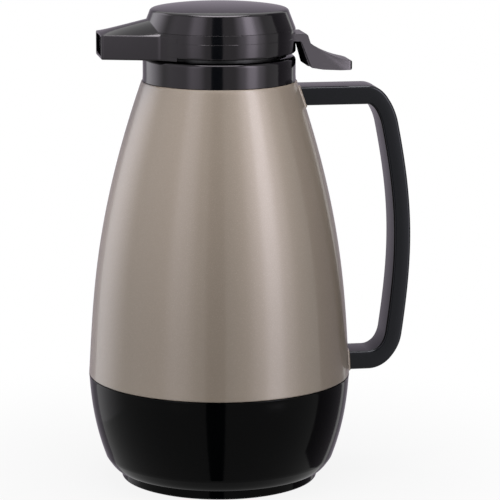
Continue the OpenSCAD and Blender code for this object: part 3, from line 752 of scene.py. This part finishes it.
def blend(share, first, second):
    """Two colours mixed by a share."""
    return share.node("ShaderNodeMix", {"data_type": "RGBA"}, {0: share, 6: first, 7: second}, 2)


def plug(wire, shader, socket):
    """Leads a wire into a socket of the shader."""
    wire.tree.links.new(wire.socket, shader.inputs[socket])


def bump(place, height, strength, distance):
    """A normal from a height, for surface texture too fine to model."""
    return place.node(
        "ShaderNodeBump", None, {"Height": height, "Strength": strength, "Distance": distance},
    )


# %% [markdown]
# ## Champagne paint
# The body has a warm metallic paint under clear lacquer: fine flakes that glitter in a matt
# base, and a smooth coat with its own sharp, weak reflection. Flakes are a fine noise in the
# colour and in the roughness, and the lacquer is the shader's coat.

# %% Champagne paint
paint, place, shader = finish("champagne_paint")
flake = noise(place, 2600, 1, 0.6)
glint = ramp(noise(place, 4100, 0), (0.62, (0, 0, 0)), (0.74, (1, 1, 1)))
drift = noise(place, 14, 2)
tone = blend(0.35 + 0.3 * flake, (0.207, 0.168, 0.126, 1), (0.322, 0.265, 0.203, 1))
tone = blend(0.2 * glint, tone, (0.60, 0.53, 0.45, 1))
tone = blend(0.12 * drift, tone, (0.29, 0.235, 0.19, 1))
plug(tone, shader, "Base Color")
plug(0.40 + 0.10 * flake - 0.06 * glint, shader, "Roughness")
shader.inputs["Metallic"].default_value = 0.12
shader.inputs["Coat Weight"].default_value = 0.5
shader.inputs["Coat Roughness"].default_value = 0.06
plug(bump(place, noise(place, 420, 1), 0.05, 0.0002), shader, "Normal")
print("paint nodes:", len(paint.node_tree.nodes))

# %% [markdown]
# ## Black plastics
# Lid, collar, handle and base are the same kind of hard glossy plastic in slightly different
# depths of black: the lid has a hint of plum, the base is the deepest. What shows is mostly
# reflection, so the colour hardly matters, and the roughness does. It wanders a little, as
# with faint handling marks, over a very shallow moulding texture.

# %% Black plastics
def black_plastic(name, colour, light, rough, spread, gloss, tint=(1, 1, 1, 1)):
    """A glossy dark plastic with faint marks and a shallow moulding texture."""
    material, place, shader = finish(name)
    cloud = noise(place, 38, 3)
    speck = ramp(noise(place, 1900, 2), (0.60, (0, 0, 0)), (0.80, (1, 1, 1)))
    body = blend(0.5 * cloud + 0.35 * speck, (*colour, 1), (*light, 1))
    plug(body, shader, "Base Color")
    plug(rough + spread * cloud + 0.04 * speck, shader, "Roughness")
    shader.inputs["Specular IOR Level"].default_value = gloss
    shader.inputs["Specular Tint"].default_value = tint
    plug(bump(place, noise(place, 260, 2), 0.03, 0.0003), shader, "Normal")
    return material


plum, navy = (1.0, 0.93, 1.0, 1), (0.90, 0.93, 1.0, 1)
gloss_black = black_plastic(
    "gloss_black", (0.002, 0.0018, 0.0023), (0.0055, 0.005, 0.006), 0.08, 0.05, 0.29, plum,
)
handle_black = black_plastic(
    "handle_black", (0.003, 0.003, 0.0042), (0.006, 0.006, 0.0078), 0.12, 0.08, 0.20, navy,
)
lever_black = black_plastic(
    "lever_black", (0.014, 0.012, 0.015), (0.026, 0.023, 0.028), 0.30, 0.10, 0.80, plum,
)
base_black = black_plastic(
    "base_black", (0.0006, 0.0007, 0.0008), (0.0015, 0.0017, 0.0018), 0.06, 0.05, 0.05,
)
inner_black = black_plastic(
    "inner_black", (0.012, 0.012, 0.013), (0.022, 0.022, 0.024), 0.32, 0.12, 0.45,
)
print("black plastics:", len([m for m in bpy.data.materials if m.name.endswith("_black")]))

# %% [markdown]
# ## Painted shade on the lever
# The photograph shows the lever's heel and its end almost black beside the plum side. There the
# lever carries painted shade: a second shader, near black and without reflection, takes over.
# Its mask is 1 on faces that look along X, and on everything that stands out past the line of the
# heel, which is the rib. Both are measured in the lever's own space, so the painted shade stays
# in place when the lid turns or the lever is pressed.

# %% Painted shade on the lever
HEEL_FACING = (0.94, 0, 0.34)


def paint_shade_on_ends(material, low, high):
    """Paints shade on faces that look along X, past low and high, and on the rib, with a near black
    shader without reflection.
    """
    tree = material.node_tree
    sheen = next(n for n in tree.nodes if n.type == "BSDF_PRINCIPLED")
    out = next(n for n in tree.nodes if n.type == "OUTPUT_MATERIAL")
    facing = Wire(tree).node("ShaderNodeTexCoord", output="Normal")
    along = facing.node("ShaderNodeSeparateXYZ", None, {0: facing})
    # The mask of painted shade: 1 on faces that look along X, and on the rib.
    in_shade, in_light, soft = (1, 1, 1), (0, 0, 0), 0.06
    ends = ramp(
        0.5 * along + 0.5, (low, in_shade), (low + soft, in_light), (high - soft, in_light), (high, in_shade),
    )
    spot = facing.node("ShaderNodeTexCoord", output="Object")
    depth = spot.node("ShaderNodeVectorMath", {"operation": "DOT_PRODUCT"}, {0: spot, 1: HEEL_FACING}, 1)
    heel_line = (HEEL_FACING[0] * HEEL_X + HEEL_FACING[2] * HEEL_Z - 0.35) * MM
    height = spot.node("ShaderNodeSeparateXYZ", None, {0: spot}, 2)
    rib_shade_mask = depth.maths("LESS_THAN", depth, heel_line) * height.maths("LESS_THAN", height, RIB_TOP * MM)
    # Painted shade: a near black shader with no reflection for the faces in the mask.
    painted_shade = along.node("ShaderNodeBsdfPrincipled", None, {
        "Base Color": (0.006, 0.0055, 0.007, 1), "Roughness": 0.5, "Specular IOR Level": 0.0,
    })
    both = along.node("ShaderNodeMixShader", None, {
        0: ends.maths("MAXIMUM", ends, rib_shade_mask), 1: Wire(tree, sheen.outputs[0]), 2: painted_shade,
    })
    tree.links.new(both.socket, out.inputs["Surface"])


# Painted shade on the lever's heel, its end and the rib.
paint_shade_on_ends(lever_black, 0.16, 0.80)
print("lever nodes:", len(lever_black.node_tree.nodes))

# %% [markdown]
# ## Rubber, silicone, glass, steel and felt
# The inner parts have plain working finishes. Each still varies: rubber is dusty, silicone is
# milky with a soft sheen, the flask is silvered behind its glass, and steel has a fine grain.

# %% Inner finishes
def inner_finish(name, dark, pale, scale, rough, spread, metallic, depth):
    """A finish that wanders between two colours and has a fine grain."""
    material, place, shader = finish(name)
    cloud = noise(place, scale, 3)
    plug(blend(cloud, (*dark, 1), (*pale, 1)), shader, "Base Color")
    plug(rough + spread * cloud, shader, "Roughness")
    shader.inputs["Metallic"].default_value = metallic
    plug(bump(place, noise(place, scale * 9, 2), depth, 0.0003), shader, "Normal")
    return material


rubber = inner_finish("rubber", (0.018, 0.018, 0.018), (0.045, 0.044, 0.042), 120, 0.62, 0.2, 0, 0.25)
silicone = inner_finish("silicone", (0.72, 0.71, 0.68), (0.84, 0.83, 0.81), 60, 0.38, 0.12, 0, 0.04)
bush_plastic = inner_finish(
    "bush_plastic", (0.70, 0.68, 0.62), (0.80, 0.78, 0.73), 90, 0.34, 0.12, 0, 0.05,
)
steel = inner_finish("steel", (0.44, 0.44, 0.43), (0.62, 0.61, 0.60), 340, 0.24, 0.16, 1, 0.08)
spring_steel = inner_finish(
    "spring_steel", (0.36, 0.36, 0.36), (0.52, 0.52, 0.51), 500, 0.28, 0.16, 1, 0.08,
)
silvered_glass = inner_finish(
    "silvered_glass", (0.66, 0.68, 0.67), (0.78, 0.80, 0.79), 18, 0.05, 0.07, 0.9, 0.02,
)
felt = inner_finish("felt", (0.30, 0.24, 0.16), (0.46, 0.38, 0.27), 700, 0.85, 0.1, 0, 0.6)

# %% Finishes onto the pieces and the CAD nodes
by_slot = {
    "shell_paint": paint, "base_black": base_black, "gloss_black": gloss_black,
    "handle_black": handle_black, "lever_black": lever_black, "inner_black": inner_black,
    "silicone": silicone,
}
for piece in made.values():
    piece.data.materials.append(by_slot[piece["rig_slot"]])
node_finish = {
    "foot_ring": rubber, "handle_screws": steel, "flask_liner": silvered_glass,
    "flask_jacket": silvered_glass, "flask_spacers": felt, "flask_cushion": rubber,
    "neck_seal": silicone, "valve_deck": inner_black, "pour_channel": inner_black,
    "lid_screws": steel, "stem_bush": bush_plastic, "lever_pin": steel, "valve_stem": steel,
    "valve_disc": inner_black, "valve_seal": silicone, "stem_clip": steel, "return_spring": spring_steel,
}
for name, material in node_finish.items():
    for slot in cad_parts[name].material_slots:
        slot.material = material
print("finishes on", len(made), "pieces and", len(node_finish), "nodes")

# %% [markdown]
# ## Floor and background
# The photograph is cut out on white. The floor is a pale matt sheet that takes the carafe's
# shadow. For rays from the camera, from gloss and through glass it turns to plain white with
# the distance from the carafe, so that the background is white without any more light on the
# carafe, and a faint shadow stays round the foot.

# %% Floor
floor_mesh = bpy.data.meshes.new("floor")
floor_mesh.from_pydata([(-8, -8, 0), (8, -8, 0), (8, 8, 0), (-8, 8, 0)], [], [(0, 1, 2, 3)])
floor = bpy.data.objects.new("floor", floor_mesh)
scene.collection.objects.link(floor)
floor_material = bpy.data.materials.new("pale_floor")
floor_material.use_nodes = True
floor_tree = floor_material.node_tree
floor_tree.nodes.clear()
floor_start = Wire(floor_tree)


def seen_rays(start):
    """1 for rays from the camera, from gloss and through glass, and 0 for the others."""
    path = [start.node("ShaderNodeLightPath", output=name) for name in
            ("Is Camera Ray", "Is Glossy Ray", "Is Transmission Ray")]
    return path[0] + path[1] + path[2]


floor_place = floor_start.node("ShaderNodeTexCoord", output="Object")
far = floor_place.node("ShaderNodeVectorMath", {"operation": "LENGTH"}, {0: floor_place}, "Value")
whiteness = ramp(far, (0.07, (0.90, 0.90, 0.90)), (0.26, (1, 1, 1)), kind="EASE")
matt = floor_start.node("ShaderNodeBsdfDiffuse", None, {"Color": (0.32, 0.32, 0.32, 1)})
white = floor_start.node("ShaderNodeEmission", None, {"Color": (1, 1, 1, 1), "Strength": 1.0})
shown = floor_start.node(
    "ShaderNodeMixShader", None, {0: whiteness * seen_rays(floor_start), 1: matt, 2: white},
)
floor_out = floor_tree.nodes.new("ShaderNodeOutputMaterial")
floor_tree.links.new(shown.socket, floor_out.inputs["Surface"])
floor_mesh.materials.append(floor_material)
print("floor nodes:", len(floor_tree.nodes))

# %% World
world = bpy.data.worlds.new("studio")
scene.world = world
world.use_nodes = True
world_tree = world.node_tree
background = next(n for n in world_tree.nodes if n.type == "BACKGROUND")
world_start = Wire(world_tree)
level = 0.20 + 0.80 * seen_rays(world_start)
world_tree.links.new(level.socket, background.inputs["Strength"])
background.inputs["Color"].default_value = (1, 1, 1, 1)
print("world nodes:", len(world_tree.nodes))

# %% [markdown]
# ## Studio light
# Gloss shows the studio itself. On an upright cylinder each strip of the surface shows one
# direction of the room: the strip at a share s of the radius shows the azimuth 2 asin(s). The
# bands in the photograph were turned round with that rule, which gives a bright soft box 50
# degrees to the right of the camera inside a wider and weaker one, two weaker ones on the left
# and a rim light behind them. The camera looks down, so the boxes reach below the floor's level.

# %% Soft boxes
VIEW_AZIMUTH = math.atan2(CAMERA_X, -CAMERA_Y)


def around(azimuth, distance, height):
    """A place at an azimuth in degrees to the right of the camera, and the turn that faces it."""
    angle = VIEW_AZIMUTH + math.radians(azimuth)
    return Vector((distance * math.sin(angle), -distance * math.cos(angle), height)), angle


def soft_box(name, azimuth, distance, low, high, width, brightness, matt_light=False):
    """An upright area light; its brightness is that of its face, where 1 is a white wall."""
    data = bpy.data.lights.new(name, "AREA")
    data.shape = "RECTANGLE"
    data.size = width
    data.size_y = high - low
    data.energy = brightness * math.pi * width * (high - low)
    data.color = (1.0, 0.96, 1.05)
    light = bpy.data.objects.new(name, data)
    light.location, angle = around(azimuth, distance, (low + high) / 2)
    light.rotation_euler = (math.pi / 2, 0, angle)
    light.visible_camera = False
    light.visible_diffuse = matt_light
    light.visible_glossy = not matt_light
    scene.collection.objects.link(light)
    return light


def soft_sides(light, edge, low, high):
    """Lets the light's face fade out over a share of its width and grow from low to high upwards."""
    light.data.use_nodes = True
    tree = light.data.node_tree
    lamp = next(n for n in tree.nodes if n.type == "EMISSION")
    spot = Wire(tree).node("ShaderNodeNewGeometry", output="Parametric")
    parts = spot.node("ShaderNodeSeparateXYZ", None, {0: spot})
    upwards = Wire(tree, parts.socket.node.outputs[1])
    black, full = (0, 0, 0), (1, 1, 1)
    fade = ramp(parts, (0, black), (edge, full), (1 - edge, full), (1, black), kind="EASE")
    half, most = (0.33, 0.33, 0.33), (0.72, 0.72, 0.72)
    rise = ramp(upwards, (0, black), (0.25, half), (0.5, most), (1, full))
    plug(fade * (low + (high - low) * rise), lamp, "Strength")


soft_sides(soft_box("right_key", 50, 1.3, -0.45, 1.45, 0.62, 3.6), 0.40, 0.38, 1.70)
soft_sides(soft_box("right_wide", 50, 1.45, -0.5, 1.5, 1.50, 1.7), 0.30, 0.38, 1.70)
soft_sides(soft_box("left_key", -35, 1.3, -0.45, 1.45, 0.80, 1.5), 0.40, 0.38, 1.70)
soft_sides(soft_box("left_wide", -60, 1.45, -0.5, 1.5, 1.80, 0.5), 0.30, 0.38, 1.70)
soft_sides(soft_box("left_rim", -118, 1.2, -0.45, 1.2, 1.40, 1.5), 0.45, 0.32, 1.75)

# %% [markdown]
# ## Light for matt surfaces
# Matt paint doesn't show a box's outline, it only adds light up. The photograph's body is
# brightest where it leans back under the lid and darkest at the seam, so most of this light
# comes from overhead, with a weak fill from the front. The overhead box also shows in gloss at
# about a fifth of its strength, which lifts the hood of the spout.

# %% Overhead light and fill
overhead = soft_box("overhead", 0, 0.1, 1.0, 2.0, 1.0, 10.5, matt_light=True)
overhead.rotation_euler = (0, 0, VIEW_AZIMUTH)
overhead.visible_glossy = True
overhead.data.specular_factor = 0.22
overhead.data.color = (1.0, 0.98, 1.0)
soft_box("front_fill", -8, 2.0, 0.3, 1.3, 1.5, 0.5, matt_light=True)

# %% [markdown]
# ## Dark cards
# A photographer keeps the shape of black plastic readable with dark cards. One stands behind
# the camera and gives the dark stripe down the middle, one on the right and one behind the
# carafe darken its edges. They only show in gloss: they cast no shadow and block no soft light.

# %% Cards
def dark_card(name, azimuth, distance, low, high, width, tone):
    """An upright card of one even tone, where 1 is white, that shows in gloss alone."""
    mesh = bpy.data.meshes.new(name)
    half = width / 2
    corners = [(-half, 0, low), (half, 0, low), (half, 0, high), (-half, 0, high)]
    mesh.from_pydata(corners, [], [(0, 1, 2, 3)])
    card = bpy.data.objects.new(name, mesh)
    card.location, angle = around(azimuth, distance, 0)
    card.rotation_euler = (0, 0, angle)
    scene.collection.objects.link(card)
    card.visible_camera = False
    card.visible_shadow = False
    card.visible_diffuse = False
    card.visible_transmission = False
    material = bpy.data.materials.new(name)
    material.use_nodes = True
    material.node_tree.nodes.clear()
    face = Wire(material.node_tree).node("ShaderNodeEmission", None, {"Color": (*tone, 1)})
    out = material.node_tree.nodes.new("ShaderNodeOutputMaterial")
    material.node_tree.links.new(face.socket, out.inputs["Surface"])
    mesh.materials.append(material)


dark_card("camera_card", -3, 1.6, -3.0, 1.9, 0.48, (0.07, 0.10, 0.12))
dark_card("right_card", 119, 1.3, -0.9, 1.6, 1.0, (0.24, 0.22, 0.25))
dark_card("back_card", 184, 1.5, -0.9, 0.95, 2.2, (0.40, 0.36, 0.42))
floor.visible_glossy = False

# %% [markdown]
# ## Colour management
# Standard view keeps colours as they are written.

# %% Close
scene.view_settings.view_transform = "Standard"
